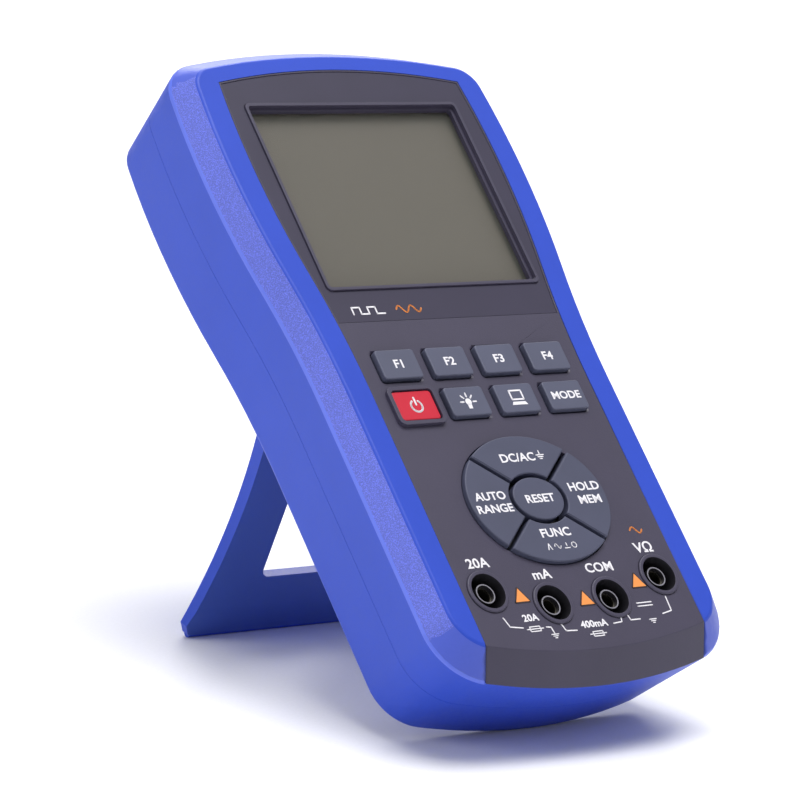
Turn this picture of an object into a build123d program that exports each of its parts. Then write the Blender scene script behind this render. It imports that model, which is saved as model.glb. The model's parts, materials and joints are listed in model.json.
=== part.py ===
"""Handheld oscilloscope and multimeter, standing on its open kickstand.

Every piece is drawn in the instrument's own frame: X across, Y from the bottom end to the top end,
Z out of the face, with Z = 0 on the face and Y = 0 at the bottom end. The last section leans the whole
assembly back onto its kickstand and puts the origin under the middle of it, on the floor.
"""
import os
from math import acos, atan2, cos, degrees, hypot, radians, sin, sqrt

from build123d import *

# ---- overall sizes, mm ---------------------------------------------------------------------------------
body_length = 191.0            # bottom end to top end, at the widest level
waist_half = 47.6              # half width beside the keys
head_swell = 5.1               # how much wider each side is beside the display
waist_y = 84.0                 # where the sides start to swell
head_from_top = 38.0           # they are widest this far below the top end
stand_bed = 32.3               # face to the inner side of the folded stand
lean_angle = 46.2              # how far the instrument leans back from upright

# ---- casing --------------------------------------------------------------------------------------------
end_arc_bottom = 154.5         # radius of the bowed bottom end
end_arc_top = 230.0            # radius of the bowed top end
corner_bottom = 16.0
corner_top = 12.0
bevel_drop = 5.6               # the face's bevel, front to back
bevel_width = 5.1              # the same bevel, across
bevel_width_bottom = 7.2       # it is wider at the bottom end
draft_inset = 3.5              # how far the side walls lean in towards the back
draft_inset_bottom = 5.3
back_chamfer = 1.9
wall = 2.4
parting_z = -19.0              # where the front and rear shells meet
ledge = 2.2                    # what the panel rests on
ledge_thickness = 1.6
roof_shoulder = 4.8            # drop of the roof's sloping edge, inside the bevel
shoulder_wall = 0.4            # extra wall there

# ---- front panel ---------------------------------------------------------------------------------------
panel_inset = 12.0             # body side to panel side
panel_top_inset = 9.5
panel_arc_top = 202.0
panel_thickness = 2.2
panel_gap = 0.15
panel_opening_y = 12.0         # the shell is closed below this, behind the wrapped bottom strip
surround_drop = 11.2           # window to the surround's lower edge
surround_thickness = 0.6
surround_recess = 0.75
surround_margin = 0.5
film_gap = 0.1                 # round the surround, where it is let in

# ---- display -------------------------------------------------------------------------------------------
window_width = 66.4
window_height = 54.0
window_from_top = 21.8         # top end to the window's upper edge
lip_width = 1.7
lip_rise = 0.35
window_step = 0.9
lens_thickness = 1.4
lens_overlap = 1.5
lcd_thickness = 2.6
lcd_border = 1.0
frame_wall = 0.9
frame_gap = 0.05               # between the frame and the glass
strip_height = 3.0             # the elastomer connector under the glass
strip_gap = 0.4

# ---- keys ----------------------------------------------------------------------------------------------
key_width = 12.4
key_height = 8.4
key_web_x = 3.8                # panel left between two keys
key_web_y = 3.5
key_corner = 0.9
key_rise = 1.3                 # above the face
key_rows_y = 84.6              # middle of the two rows
key_travel = 0.9
key_gap = 0.25                 # all round each key in its well
well_chamfer = 0.45
flange = 0.75                  # keeps a key behind the panel
flange_thickness = 0.9
flange_gap = 0.05              # between the flange and the panel's back
power_rise = 0.7
guard_width = 1.1              # frame round the power key
guard_rise = 1.1
pad_y = 49.5
pad_half_x = 22.0
pad_half_y = 18.2
pad_ring_x = 9.0               # inner edge of the four segments
pad_ring_y = 7.3
pad_split = 1.1                # slot between two segments
reset_half_x = 7.8
reset_half_y = 6.1
key_edge = 0.35                # rounding of the key tops

# ---- boards and mat ------------------------------------------------------------------------------------
board_front_z = -8.4
board_thickness = 1.6
board_inset = 4.4
dome_radius = 3.8
dome_thickness = 0.3
mat_thickness = 0.8
mat_clearance = 0.1
pillar_radius = 2.6
pillar_top_x = 24.0
pillar_from_top = 16.5
pillar_middle_x = 28.0
pillar_low = (19.0, 33.0)
board_screw_radius = 1.1
board_screw_bite = 1.2         # tip of a board screw to the panel's back
chip_ledge = 6.0               # chips beside the surround's lower edge stand this far above it
shield_width = 60.0
shield_length = 46.0
shield_depth = 5.5
shield_wall = 0.5
shield_drop = 1.2              # below the middle of the window
capacitor_x = 36.0
capacitor_drop = 24.2          # below the middle of the window
capacitor_pitch = 10.0
capacitor_radius = 4.0
capacitor_height = 11.0
small_capacitor_radius = 3.2
small_capacitor_height = 8.0
buzzer_x = 38.0
buzzer_radius = 6.2
buzzer_height = 4.5
buzzer_hole = 1.1
port_x = 12.0
port_width = 8.0
port_height = 4.0
port_length = 10.0
port_wall = 0.5
port_tongue = 0.8
port_setback = 0.8             # behind the inside of the top wall
port_clearance = 0.3

# ---- sockets -------------------------------------------------------------------------------------------
socket_spacing = 19.05         # neighbouring 4 mm sockets, centre to centre
socket_inner_x = 9.525
socket_inner_y = 20.8
socket_rise_y = 4.9            # the outer pair sits higher
contact_bore = 2.0             # radius, takes a 4 mm plug
contact_wall = 0.35
contact_z = -2.2
contact_floor = 1.0            # of the sleeve, on the input board
contact_tail = 1.1             # radius of the pin soldered through the input board
tail_reach = 0.6               # how far it stands out of the board
bore_floor = 0.6
tube_wall = 0.4                # insulation round the contact
socket_tube_z = -0.9
socket_annulus = 2.1           # room for the plug's shroud
socket_wall = 1.05
socket_lip = 0.5
socket_clearance = 0.3
input_board_z = -22.4
input_board_width = 70.0
input_board_bottom = 11.0
input_board_top = 40.0
header_drop = 3.0              # below the input board's top edge
header_height = 8.5
header_width = 2.6
pin_pitch = 2.54
pin_count = 10
header_pin_radius = 0.35
fuse_radius = 3.15
fuse_length = 32.0
fuse_x = 19.0
fuse_cap = 6.0
fuse_standoff = 0.9
clip_width = 4.5
clip_wall = 0.6
clip_clearance = 0.3
shunt_place = (-14.0, 17.0)
shunt_width = 14.0
shunt_height = 6.0
shunt_bar = 1.6
varistor_y = 15.0
varistor_x = (8.0, 18.0)
varistor_radius = 3.5
varistor_thickness = 3.4

# ---- battery -------------------------------------------------------------------------------------------
cell_radius = 7.25
cell_length = 49.2
nub_radius = 2.75
nub_length = 1.3
cell_gap = 0.3                 # between neighbouring cells
cell_count = 4
cell_rise = 1.65               # between the cells and the door
cell_headroom = 0.75
bay_below_hinge = 39.6         # middle of the bay
bay_side = 0.45                # beside the outer cells
bay_clearance = 1.95           # at each end, for the contacts
contact_plate = 0.5
coil_wall = 0.7
bay_wall = 1.4
door_thickness = 2.0
door_ledge_bottom = 7.8
door_ledge = 2.8
door_ledge_top = 4.0
door_gap = 0.2

# ---- kickstand -----------------------------------------------------------------------------------------
hinge_y = 115.6
stand_length = 79.0            # hinge axis to toe
stand_thickness = 4.6          # at the hinge
stand_thin = 3.4               # where the toe starts
stand_waist = 27.2             # half width where the sides are narrowest
stand_waist_at = 20.0          # measured from the hinge
stand_arc = 155.0              # radius of the hollow sides
stand_clearance = 0.2
toe_radius = 1.2
toe_start = 8.5                # length of the thinner toe band
toe_corner = 4.0
toe_taper = 2.0                # the toe is narrower than its corners, each side
window_top_at = 21.0           # stand window, measured from the hinge
window_foot_at = 62.0
window_top_half = 12.3
window_foot_half = 17.2
window_corner = 2.0
recess_side_gap = 0.7          # beside the stand's widest place
recess_end_gap = 1.2           # beyond its toe
recess_head_gap = 3.6          # above its barrel
recess_floor = 3.2
recess_wall = 2.2
pin_radius = 1.25
pin_clearance = 0.05
pin_setback = 0.8              # each end of the pin, inside its lug
lug_width = 5.0
lug_reach = 3.4                # half the lug's length along the case
lug_gap = 0.5
scoop_width = 24.0             # shallow notch that lets a fingertip reach the toe
scoop_length = 16.0
scoop_depth = 1.3

# ---- fasteners and small parts -------------------------------------------------------------------------
screw_low_inset = 12.1         # screw centre to the case's side
screw_low_y = 19.0
screw_high_inset = 11.2
screw_from_top = 22.0
boss_radius = 3.4
boss_clearance = 0.6
case_screw_radius = 1.4
case_head_radius = 2.75
case_head_height = 2.0
case_head_drop = 7.0           # parting face to the screw head's seat
case_screw_stop = 5.0          # tip to the roof
door_screw_x = 20.0
door_screw_rise = 4.0          # above the door's lower edge
door_screw_radius = 1.2
door_screw_length = 4.5        # past the recess floor
door_head_radius = 2.3
door_head_height = 1.2
door_head_seat = 1.3
door_boss_radius = 3.2
board_head_radius = 2.1
board_head_height = 1.3
pilot = 0.2                    # thread bite: pilot holes are this much under the thread's radius
through = 0.2                  # clearance of a plain screw hole
grip_count = 5                 # grip grooves of the battery door
grip_width = 16.0
grip_groove = 0.9
grip_pitch = 2.2
grip_start = 12.0

# ---- worked out from the sizes above -------------------------------------------------------------------
head_half = waist_half + head_swell
head_y = body_length - head_from_top
window_y = body_length - window_from_top - window_height / 2
surround_y = window_y - window_height / 2 - surround_drop
key_pitch_x = key_width + key_web_x
key_pitch_y = key_height + key_web_y
contact_radius = contact_bore + contact_wall
socket_tube = contact_radius + tube_wall
socket_hole = socket_tube + socket_annulus
socket_radius = socket_hole + socket_wall
socket_outer_x = socket_inner_x + sqrt(socket_spacing ** 2 - socket_rise_y ** 2)
sockets = {
    "20a": (-socket_outer_x, socket_inner_y + socket_rise_y),
    "ma": (-socket_inner_x, socket_inner_y),
    "com": (socket_inner_x, socket_inner_y),
    "volts": (socket_outer_x, socket_inner_y + socket_rise_y),
}
body_depth = stand_bed + stand_thickness
back_z = -body_depth
panel_back_z = -panel_thickness
board_back_z = board_front_z - board_thickness
key_bottom_z = panel_back_z - flange_gap - flange_thickness
mat_top_z = key_bottom_z - key_travel - mat_clearance
recess_z = back_z + stand_thickness + 2 * stand_clearance
recess_inner_z = recess_z + recess_floor
hinge_z = back_z + stand_clearance + stand_thickness / 2
stand_pivot_x = stand_waist + stand_arc - sqrt(stand_arc ** 2 - stand_waist_at ** 2)
stand_corner_at = stand_length - toe_corner
stand_corner_x = stand_waist + stand_arc - sqrt(stand_arc ** 2 - (stand_corner_at - stand_waist_at) ** 2)
recess_half = stand_corner_x + recess_side_gap
recess_bottom = hinge_y - stand_length - recess_end_gap
recess_top = hinge_y + stand_thickness / 2 + recess_head_gap
lug_x = stand_pivot_x + lug_gap + lug_width / 2
pin_length = 2 * lug_x + lug_width - 2 * pin_setback
cell_pitch = 2 * cell_radius + cell_gap
cell_z = recess_z + door_thickness + cell_rise + cell_radius
bay_y = hinge_y - bay_below_hinge
bay_half_x = cell_pitch * cell_count / 2 - cell_gap / 2 + bay_side
bay_half_y = (cell_length + nub_length) / 2 + bay_clearance
bay_top_z = cell_z + cell_radius + cell_headroom
case_head_z = parting_z - case_head_drop
case_screw_low = (waist_half - screw_low_inset, screw_low_y)
case_screw_high = (head_half - screw_high_inset, body_length - screw_from_top)
case_boss_points = [(side * x, y) for x, y in (case_screw_low, case_screw_high) for side in (-1, 1)]
pillars = [(pillar_top_x, body_length - pillar_from_top), (pillar_middle_x, surround_y), pillar_low]
pillar_points = [(side * x, y) for x, y in pillars for side in (-1, 1)]
socket_bottom_z = input_board_z
input_back_z = input_board_z - board_thickness
fuse_y = recess_bottom - recess_wall - fuse_radius - clip_wall - clip_clearance
fuse_z = input_back_z - fuse_standoff - fuse_radius
parts = {}


# ---- outlines ------------------------------------------------------------------------------------------
def side_x(y, inset):
    """Half width of the body at y: straight, then an S of two equal arcs, wide at the head."""
    low = waist_half - inset
    high = head_half - inset
    rise = high - low
    run = head_y - waist_y
    radius = (rise ** 2 + run ** 2) / (4 * rise)
    middle = (waist_y + head_y) / 2
    if y <= waist_y:
        return low
    if y <= middle:
        return low + radius - sqrt(radius ** 2 - (y - waist_y) ** 2)
    return high - radius + sqrt(radius ** 2 - (y - head_y) ** 2)


def bow(x, radius):
    """How far an end arc of this radius has dropped at x."""
    return radius - sqrt(radius ** 2 - x ** 2)


def outline(inset, bottom, top, arc_bottom, arc_top, round_bottom, round_top):
    """The body's outline drawn in, as a face on Z = 0."""
    y_low = bottom + bow(waist_half - inset, arc_bottom)
    y_high = body_length - top
    for _ in range(8):
        y_high = body_length - top - bow(side_x(y_high, inset), arc_top)
    middle = (waist_y + head_y) / 2

    def at(y, side):
        return (side * side_x(y, inset), y)

    edges = [ThreePointArc(at(y_low, -1), (0, bottom), at(y_low, 1))]
    for side in (1, -1):
        edges.append(Line(at(y_low, side), at(waist_y, side)))
        edges.append(ThreePointArc(at(waist_y, side), at((waist_y + middle) / 2, side), at(middle, side)))
        edges.append(ThreePointArc(at(middle, side), at((middle + y_high) / 2, side), at(y_high, side)))
    edges.append(ThreePointArc(at(y_high, 1), (0, body_length - top), at(y_high, -1)))
    face = make_face(edges)
    corners = face.vertices().sort_by(Axis.Y)
    if round_bottom > 0:
        face = fillet(corners[:2], round_bottom)
        corners = face.vertices().sort_by(Axis.Y)
    if round_top > 0:
        tops = [v for v in face.vertices() if abs(v.Y - y_high) < 1e-3]
        face = fillet(tops, round_top)
    return face


def body_level(z, inset, bottom):
    """One level of the casing's lofts: the outline drawn in by inset and, at the bottom end, by bottom."""
    face = outline(inset, bottom, inset, end_arc_bottom, end_arc_top,
                   max(corner_bottom - inset, 2.0), max(corner_top - inset, 1.2))
    return Pos(0, 0, z) * face


def stack(levels):
    """A solid with straight walls from each level to the next."""
    solid = None
    for upper, lower in zip(levels, levels[1:]):
        piece = loft([body_level(*lower), body_level(*upper)], ruled=True)
        solid = piece if solid is None else solid + piece
    return solid


def plate(width, height, centre, z_top, z_bottom, corner=0.0):
    """A flat rectangular block between two heights, with rounded corners if asked."""
    shape = RectangleRounded(width, height, corner) if corner > 0 else Rectangle(width, height)
    return Pos(centre[0], centre[1], z_bottom) * extrude(shape, z_top - z_bottom)


def post(radius, centre, z_top, z_bottom):
    """A round post between two heights."""
    return Pos(centre[0], centre[1], z_bottom) * extrude(Circle(radius), z_top - z_bottom)


def oval(half_x, half_y, z_top, z_bottom):
    """An oval post on the pad's centre."""
    return Pos(0, pad_y, z_bottom) * extrude(Ellipse(half_x, half_y), z_top - z_bottom)


def draft_at(z):
    """Inset of the side wall at depth z behind the bevel."""
    share = (-bevel_drop - z) / (body_depth - bevel_drop)
    return draft_inset * share, draft_inset_bottom * share


# ---- casing --------------------------------------------------------------------------------------------
part_side, part_bottom = draft_at(parting_z)
edge_side, edge_bottom = draft_at(back_z + back_chamfer)
face_level = (0.0, bevel_width, bevel_width_bottom)
edge_level = (-bevel_drop, 0.0, 0.0)
parting_level = (parting_z, part_side, part_bottom)
heel_level = (back_z + back_chamfer, edge_side, edge_bottom)
back_level = (back_z, edge_side + back_chamfer, edge_bottom + back_chamfer)

roof_z = panel_back_z - ledge_thickness
cavity_roof = (roof_z, bevel_width - 0.2, bevel_width_bottom + 0.6)
case_tip_z = roof_z - case_screw_stop
cavity_shoulder = (roof_z - roof_shoulder, wall + shoulder_wall, wall + 2 * shoulder_wall)
cavity_parting = (parting_z, part_side + wall, part_bottom + wall)
cavity_floor = (back_z + wall, edge_side + wall, edge_bottom + wall)

front_body = stack([face_level, edge_level, parting_level])
front_cavity = stack([cavity_roof, cavity_shoulder, cavity_parting])


def panel_column(gap, drawn_in, y_start):
    """A tall column with the panel's outline, from y_start upwards."""
    inset = panel_inset + drawn_in - gap
    face = outline(inset, y_start, panel_top_inset + drawn_in - gap, 2000.0, panel_arc_top, 0, 0)
    return Pos(0, 0, -20) * extrude(face, 40)


def panel_region(gap, depth):
    """The skin of the front body inside the panel's column, down to the bevel's edge."""
    column = panel_column(gap, 0.0, -12.0)
    core = Pos(0, 0, -depth) * front_body
    skin = (front_body & column) - core
    return skin & (Pos(0, body_length / 2, -bevel_drop / 2 + 1) * Box(200, 400, bevel_drop + 2))


front_shell = front_body - front_cavity
front_shell -= panel_region(panel_gap, panel_thickness)
front_shell -= panel_column(0.0, ledge, panel_opening_y)
for centre in case_boss_points:
    boss = post(boss_radius, centre, roof_z + 0.5, parting_z)
    front_shell += boss & front_body
for centre in case_boss_points:
    front_shell -= post(case_screw_radius - pilot, centre, case_tip_z, parting_z - 1)
for centre in sockets.values():
    front_shell -= post(socket_radius + socket_clearance, centre, 0, parting_z)
port_y = body_length - 2 * wall - port_length / 2 - port_setback
port_z = board_back_z - port_height / 2
port_mouth = Box(port_width + 2 * port_clearance, 16, port_height + 2 * port_clearance)
front_shell -= Pos(port_x, body_length, port_z) * port_mouth
parts["front_shell"] = front_shell

rear_shell = stack([parting_level, heel_level, back_level]) - stack([cavity_parting, cavity_floor])
recess_middle = (0, (recess_bottom + recess_top) / 2)
recess_size = recess_top - recess_bottom
rear_shell += plate(2 * recess_half + 2 * recess_wall, recess_size + 2 * recess_wall, recess_middle,
                    recess_inner_z, back_z, 4.0)
bay_size_x = 2 * bay_half_x + 2 * bay_wall
bay_size_y = 2 * bay_half_y + 2 * bay_wall
rear_shell += plate(bay_size_x, bay_size_y, (0, bay_y), bay_top_z + bay_wall, recess_inner_z - 0.5)
door_low = bay_y - bay_half_y - door_ledge_bottom
door_high = bay_y + bay_half_y + door_ledge_top
door_half = bay_half_x + door_ledge
door_screw_points = [(side * door_screw_x, door_low + door_screw_rise) for side in (-1, 1)]
door_tip_z = recess_inner_z + door_screw_length
for centre in door_screw_points:
    rear_shell += post(door_boss_radius, centre, door_tip_z + 1.0, recess_inner_z - 0.5)
for centre in case_boss_points:
    rear_shell += post(boss_radius, centre, parting_z, back_z + wall - 0.5)
rear_shell -= plate(2 * recess_half, recess_size, recess_middle, recess_z, back_z - 1, 2.5)
rear_shell -= plate(scoop_width, scoop_length, (0, recess_bottom), back_z + scoop_depth, back_z - 1, 3.0)
rear_shell -= plate(2 * bay_half_x, 2 * bay_half_y, (0, bay_y), bay_top_z, recess_z - 1)
rear_shell -= plate(2 * door_half, door_high - door_low, (0, (door_low + door_high) / 2),
                    recess_z + door_thickness, recess_z - 1, 1.0)
for centre in door_screw_points:
    rear_shell -= post(door_screw_radius - pilot, centre, door_tip_z, recess_z - 1)
for centre in case_boss_points:
    rear_shell -= post(case_screw_radius + through, centre, parting_z + 1, back_z - 1)
    rear_shell -= post(case_head_radius + through, centre, case_head_z, back_z - 1)

hinge_pin = Pos(0, hinge_y, hinge_z) * Rot(0, 90, 0) * Cylinder(pin_radius, pin_length)
for side in (-1, 1):
    lug = Box(lug_width, 2 * lug_reach, body_depth + recess_z)
    rear_shell += Pos(side * lug_x, hinge_y, (recess_z + back_z) / 2) * lug
rear_shell -= hinge_pin
parts["rear_shell"] = rear_shell

# ---- front panel ---------------------------------------------------------------------------------------
panel = panel_region(0.0, panel_thickness)


def key_hole(width, height, centre, gap):
    """A key's well through the panel, with its edge broken."""
    wide = width + 2 * gap
    high = height + 2 * gap
    flare = 2 * well_chamfer
    straight = plate(wide, high, centre, 2, panel_back_z - 1, key_corner + gap)
    low_edge = Pos(*centre, -well_chamfer) * RectangleRounded(wide, high, key_corner + gap)
    top_edge = Pos(*centre, 0.01) * RectangleRounded(wide + flare, high + flare, key_corner + gap)
    return straight + loft([low_edge, top_edge], ruled=True)


key_names = [["f1", "f2", "f3", "f4"], ["power", "light", "computer", "mode"]]
key_places = {}
for row, names in enumerate(key_names):
    for column, name in enumerate(names):
        key_places[name] = ((column - 1.5) * key_pitch_x, key_rows_y + (0.5 - row) * key_pitch_y)

guard = plate(key_width + 2 * key_gap + 2 * guard_width, key_height + 2 * key_gap + 2 * guard_width,
              key_places["power"], guard_rise, -0.5, key_corner + guard_width)
panel += guard
for name, centre in key_places.items():
    if name == "power":
        panel -= plate(key_width + 2 * key_gap, key_height + 2 * key_gap, centre, 3, panel_back_z - 1,
                       key_corner + key_gap)
    else:
        panel -= key_hole(key_width, key_height, centre, key_gap)
panel -= oval(pad_half_x + key_gap, pad_half_y + key_gap, 2, panel_back_z - 1)
for centre in sockets.values():
    panel -= post(socket_radius, centre, 2, panel_back_z - 1)

window_centre = (0, window_y)
above_surround = (0, surround_y + body_length / 2)
surround_floor = plate(200, body_length, above_surround, 1, -surround_recess)
surround_outer = panel_column(-surround_margin, 0.0, 0.0) & surround_floor
lip_half_x = window_width / 2 + lip_width
lip_half_y = window_height / 2 + lip_width
lip_block = plate(2 * lip_half_x, 2 * lip_half_y, window_centre, lip_rise, -surround_recess, 1.6)
panel -= surround_outer
panel += lip_block
panel -= plate(window_width, window_height, window_centre, 2, panel_back_z - 1, 0.8)
panel -= plate(window_width + lip_width, window_height + lip_width, window_centre, 2, -window_step, 1.0)
for centre in pillar_points:
    panel += post(pillar_radius, centre, panel_back_z, board_front_z)
for centre in pillar_points:
    panel -= post(board_screw_radius, centre, panel_back_z - board_screw_bite, board_front_z - 1)
parts["front_panel"] = panel

film = plate(200, body_length, (0, surround_y + film_gap + body_length / 2),
             surround_thickness - surround_recess, -surround_recess)
surround = panel_column(-surround_margin - film_gap, 0.0, 0.0) & film
surround -= plate(2 * (lip_half_x + film_gap), 2 * (lip_half_y + film_gap), window_centre, 2, -2, 1.7)
parts["display_surround"] = surround

# ---- display -------------------------------------------------------------------------------------------
lens_z = panel_back_z
lens_width = window_width + 2 * lens_overlap
lens_height = window_height + 2 * lens_overlap
parts["display_window"] = plate(lens_width, lens_height, window_centre, lens_z, lens_z - lens_thickness, 1.0)
lcd_z = lens_z - lens_thickness
lcd_width = lens_width + 2 * lcd_border - 2 * frame_wall
lcd_height = lens_height + 2 * lcd_border - 2 * frame_wall
parts["lcd_panel"] = plate(lcd_width, lcd_height, window_centre, lcd_z, lcd_z - lcd_thickness)
backlight_z = lcd_z - lcd_thickness
strip_room = strip_height + strip_gap
light_centre = (0, window_y + strip_room / 2)
parts["lcd_backlight"] = plate(lcd_width, lcd_height - strip_room, light_centre, backlight_z, board_front_z)
strip_centre = (0, window_y - lcd_height / 2 + strip_height / 2)
parts["lcd_connector_strip"] = plate(lcd_width - 4, strip_height, strip_centre, backlight_z, board_front_z)
frame_inner_x = lcd_width + 2 * frame_gap
frame_inner_y = lcd_height + 2 * frame_gap
frame = plate(frame_inner_x + 2 * frame_wall, frame_inner_y + 2 * frame_wall, window_centre,
              lcd_z - 0.2, board_front_z, 1.0)
frame -= plate(frame_inner_x, frame_inner_y, window_centre, 0, board_front_z - 1)
parts["lcd_frame"] = frame


# ---- keys ----------------------------------------------------------------------------------------------
def rounded_top(solid, radius):
    """Break the edge round the solid's highest face."""
    top = solid.faces().sort_by(Axis.Z)[-1]
    return fillet(top.edges(), radius)


def block_key(centre, rise):
    """A rectangular key with a retaining flange behind the panel."""
    cap = plate(key_width, key_height, centre, rise, key_bottom_z, key_corner)
    cap = rounded_top(cap, key_edge)
    rim = plate(key_width + 2 * flange, key_height + 2 * flange, centre, key_bottom_z + flange_thickness,
                key_bottom_z, key_corner + flange)
    return cap + rim


for name, centre in key_places.items():
    parts["key_" + name] = block_key(centre, power_rise if name == "power" else key_rise)

slant = degrees(atan2(pad_half_y, pad_half_x))
slot_turns = [Pos(0, pad_y, 0) * Rot(0, 0, turn) for turn in (slant, -slant)]
slot_boxes = [turn * Box(3 * pad_half_x, pad_split, 20) for turn in slot_turns]
ring_top = oval(pad_half_x, pad_half_y, key_rise, key_bottom_z)
ring_flange = oval(pad_half_x + flange, pad_half_y + flange, key_bottom_z + flange_thickness, key_bottom_z)
ring_hole = oval(pad_ring_x, pad_ring_y, key_rise + 1, key_bottom_z - 1)
ring = rounded_top(ring_top - ring_hole, key_edge)
slot_mouth = (pad_split + 2 * key_edge) / sqrt(2)
pad_names = {"functions": (0, -1), "hold": (1, 0), "dc_ac": (0, 1), "auto_range": (-1, 0)}
for slot_box in slot_boxes:
    ring -= slot_box
    ring_flange -= slot_box
for turn in slot_turns:
    ring -= turn * Pos(0, 0, key_rise) * Rot(45, 0, 0) * Box(3 * pad_half_x, slot_mouth, slot_mouth)
ring_flange -= ring_hole
for name, (dx, dy) in pad_names.items():
    here = Vector(dx * (pad_half_x + pad_ring_x) / 2, pad_y + dy * (pad_half_y + pad_ring_y) / 2, 0)
    cap = min(ring.solids(), key=lambda s: (s.center() - here).length)
    rim = min(ring_flange.solids(), key=lambda s: (s.center() - here).length)
    parts["pad_key_" + name] = cap + rim

reset_cap = rounded_top(oval(reset_half_x, reset_half_y, key_rise, key_bottom_z), key_edge)
parts["key_reset"] = reset_cap

# ---- mat, domes and boards -----------------------------------------------------------------------------
dome_points = list(key_places.values())
dome_points += [(dx * (pad_half_x + pad_ring_x) / 2, pad_y + dy * (pad_half_y + pad_ring_y) / 2)
                for dx, dy in pad_names.values()]
dome_points.append((0, pad_y))
dome_top_z = board_front_z + dome_thickness
mat_base_z = dome_top_z + mat_thickness
mat = plate(4 * key_pitch_x - 3, 2 * key_pitch_y, (0, key_rows_y), mat_base_z, dome_top_z, 2.0)
mat += oval(pad_half_x + 1.5, pad_half_y + 1.5, mat_base_z, dome_top_z)
mat += plate(20, 16, (0, (pad_y + pad_half_y + key_rows_y - key_pitch_y) / 2), mat_base_z, dome_top_z)
for centre in dome_points:
    mat += post(dome_radius - 0.8, centre, mat_top_z, mat_base_z)
parts["keypad_mat"] = mat
domes = [post(dome_radius, centre, dome_top_z, board_front_z) for centre in dome_points]
parts["key_domes"] = Compound(domes)

board_face = outline(board_inset, board_inset + 1.5, board_inset, end_arc_bottom, end_arc_top,
                     corner_bottom - board_inset, corner_top - board_inset)
board = Pos(0, 0, board_back_z) * extrude(board_face, board_thickness)
for centre in case_boss_points:
    board -= post(boss_radius + boss_clearance, centre, 0, parting_z)
for centre in sockets.values():
    board -= post(socket_radius + socket_clearance, centre, 0, parting_z)
for centre in pillar_points:
    board -= post(board_screw_radius + through, centre, 0, parting_z)
parts["main_board"] = board


def screw(centre, head_radius, head_height, radius, head_z, tip_z):
    """A pan-head screw driven from behind towards the face, with a cross recess."""
    body = post(head_radius, centre, head_z, head_z - head_height)
    body = fillet(body.faces().sort_by(Axis.Z)[0].edges(), 0.4 * head_height)
    body += post(radius, centre, tip_z, head_z)
    for turn in (0, 90):
        cut = Box(head_radius * 1.2, head_radius * 0.28, head_height)
        body -= Pos(centre[0], centre[1], head_z - head_height) * Rot(0, 0, turn) * cut
    return body


parts["board_screws"] = Compound([
    screw(centre, board_head_radius, board_head_height, board_screw_radius, board_back_z,
          panel_back_z - board_screw_bite)
    for centre in pillar_points])
parts["case_screws"] = Compound([
    screw(centre, case_head_radius, case_head_height, case_screw_radius - pilot, case_head_z, case_tip_z)
    for centre in case_boss_points])

# each chip: middle, width, height, thickness
chips = [
    ((-15.0, body_length - pillar_from_top + 3.5), 10.0, 7.0, 1.2),
    ((0.0, surround_y + chip_ledge + 0.5), 14.0, 6.0, 1.0),
    ((-25.0, surround_y + chip_ledge), 7.0, 5.0, 1.0),
    ((-30.0, pad_y + 12.5), 9.0, 9.0, 1.0),
    ((22.0, pad_y + 10.5), 12.0, 7.0, 1.0),
]
parts["board_chips"] = Compound([
    plate(wide, high, middle, board_back_z, board_back_z - thick) for middle, wide, high, thick in chips])
shield_middle = (0, window_y - shield_drop)
shield = plate(shield_width, shield_length, shield_middle, board_back_z, board_back_z - shield_depth, 1.0)
shield -= plate(shield_width - 2 * shield_wall, shield_length - 2 * shield_wall, shield_middle,
                board_back_z + 1, board_back_z - shield_depth + shield_wall, 1.0 - shield_wall)
parts["scope_shield"] = shield
capacitor_y = window_y - capacitor_drop
large_end_z = board_back_z - capacitor_height
small_end_z = board_back_z - small_capacitor_height
capacitors = [post(small_capacitor_radius, (capacitor_x, capacitor_y), board_back_z, small_end_z)]
for rise in (0.0, capacitor_pitch):
    capacitors.append(post(capacitor_radius, (-capacitor_x, capacitor_y + rise), board_back_z, large_end_z))
parts["capacitors"] = Compound(capacitors)
buzzer_middle = (buzzer_x, window_y)
buzzer_end_z = board_back_z - buzzer_height
buzzer = post(buzzer_radius, buzzer_middle, board_back_z, buzzer_end_z)
buzzer -= post(buzzer_hole, buzzer_middle, buzzer_end_z + 0.4 * buzzer_height, buzzer_end_z - 1)
parts["buzzer"] = buzzer
port = Pos(port_x, port_y, port_z) * Box(port_width, port_length, port_height)
port_bore = Box(port_width - 2 * port_wall, port_length, port_height - 2 * port_wall)
port -= Pos(port_x, port_y + 3 * port_wall, port_z) * port_bore
tongue = Box(port_width - 6 * port_wall, port_length - 6 * port_wall, port_tongue)
port += Pos(port_x, port_y - port_wall, port_z) * tongue
parts["data_port"] = port

input_middle = (0, (input_board_top + input_board_bottom) / 2)
input_board = plate(input_board_width, input_board_top - input_board_bottom, input_middle, input_board_z,
                    input_back_z, 6.0)
for centre in case_boss_points:
    input_board -= post(boss_radius + boss_clearance, centre, 0, back_z)
for centre in sockets.values():
    input_board -= post(contact_tail, centre, 0, back_z)
parts["input_board"] = input_board
header_y = input_board_top - header_drop
pin_places = [(pin_pitch * (index - (pin_count - 1) / 2), header_y) for index in range(pin_count)]
pins = [post(header_pin_radius, place, board_back_z, input_board_z) for place in pin_places]
header_length = pin_pitch * pin_count + 0.6
header = plate(header_length, header_width, (0, header_y), input_board_z + header_height, input_board_z)
for pin in pins:
    header -= pin
parts["board_header"] = header
parts["header_pins"] = Compound(pins)

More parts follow.
